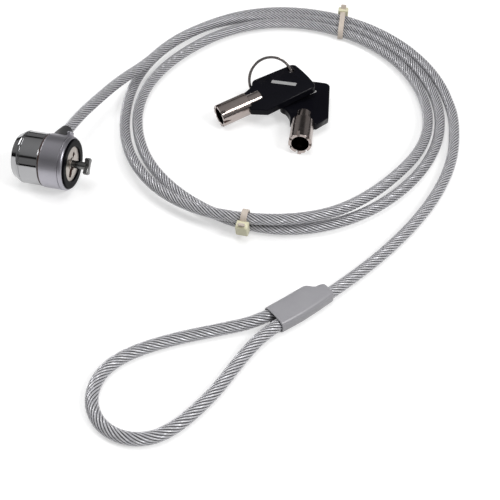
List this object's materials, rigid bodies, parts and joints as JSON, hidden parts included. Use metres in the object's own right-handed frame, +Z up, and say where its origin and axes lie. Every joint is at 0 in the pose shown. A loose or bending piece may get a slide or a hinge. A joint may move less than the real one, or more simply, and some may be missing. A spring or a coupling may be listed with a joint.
{
  "type": "laptop cable lock",
  "caption": "Cable lock for laptops: turning T-bar head, swivelling collar, coiled jacketed steel cable with a crimped eye, tubular keys on a split ring.",
  "frame": {"origin": "on the lock's axis, in the plane of the front bumper's face, where the laptop's slot opens", "axes": "+X out of the lock along its axis into the laptop, +Z up from the table, +Y to the left seen along +X; the table is at Z = -10.5 mm"},
  "size_m": [0.1656, 0.2527, 0.021],
  "materials": {
    "black_rubber": "satin",
    "bright_chrome": "polished",
    "nickel": "polished",
    "cast_zinc": "cast and machined",
    "brown_washer": "satin",
    "brass": "machined",
    "bare_steel": "machined",
    "satin_steel": "satin",
    "boot_plastic": "satin",
    "jacketed_rope": "clear jacket over twisted steel strands",
    "aluminium": "pressed",
    "grey_moulding": "satin",
    "nylon": "translucent, satin",
    "ring_steel": "polished",
    "key_nickel": "polished",
    "black_plastic": "glossy",
    "inlay_grey": "satin"
  },
  "bodies": {
    "cable": {"cable_lead": "jacketed_rope", "cable_coil": "jacketed_rope", "cable_tail": "jacketed_rope", "cable_eye": "jacketed_rope", "crimp_ferrule": "aluminium", "eye_shroud": "grey_moulding", "lower_cable_tie": "nylon", "upper_cable_tie": "nylon", "cable_boot": "boot_plastic", "lug_rivet": "bare_steel", "swivel_collar": "satin_steel"},
    "lock_head": {"front_bumper": "black_rubber", "front_cap": "satin_steel", "face_plate": "nickel", "lock_core": "cast_zinc", "rear_barrel": "bright_chrome", "groove_washer": "brown_washer", "rear_bezel": "bright_chrome", "cylinder_sleeve": "nickel", "pin_block": "brass", "block_cross_pin": "bare_steel", "driver_pins": "brass", "pin_springs": "bare_steel"},
    "rotor": {"rotor_plug": "brass", "key_pins": "brass", "spindle": "bare_steel", "retaining_clip": "bare_steel", "t_bar": "nickel"},
    "key_ring": {"split_ring": "ring_steel"},
    "key_a": {"key_a_barrel": "key_nickel", "key_a_bow": "black_plastic", "key_a_inlay": "inlay_grey"},
    "key_b": {"key_b_barrel": "key_nickel", "key_b_bow": "black_plastic", "key_b_inlay": "inlay_grey"}
  },
  "joints": [
    {"name": "head_swivel", "type": "hinge", "parent": "cable", "child": "lock_head", "pos_m": [0, 0, 0], "axis": [1, 0, 0], "continuous": true},
    {"name": "key_turn", "type": "hinge", "parent": "lock_head", "child": "rotor", "pos_m": [0, 0, 0], "axis": [1, 0, 0], "range_deg": [0, 90]},
    {"name": "ring_lift", "type": "slide", "parent": "cable", "child": "key_ring", "axis": [0, 0, 1], "range_m": [0, 0.12]},
    {"name": "key_a_slide", "type": "hinge", "parent": "key_ring", "child": "key_a", "pos_m": [0.0606, 0.07405, -0.0019], "axis": [0.3812, -0.7417, 0.5519], "range_deg": [-6, 0]},
    {"name": "key_b_slide", "type": "hinge", "parent": "key_ring", "child": "key_b", "pos_m": [0.0606, 0.07405, -0.0019], "axis": [0.3812, -0.7417, 0.5519], "range_deg": [0, 6]}
  ]
}
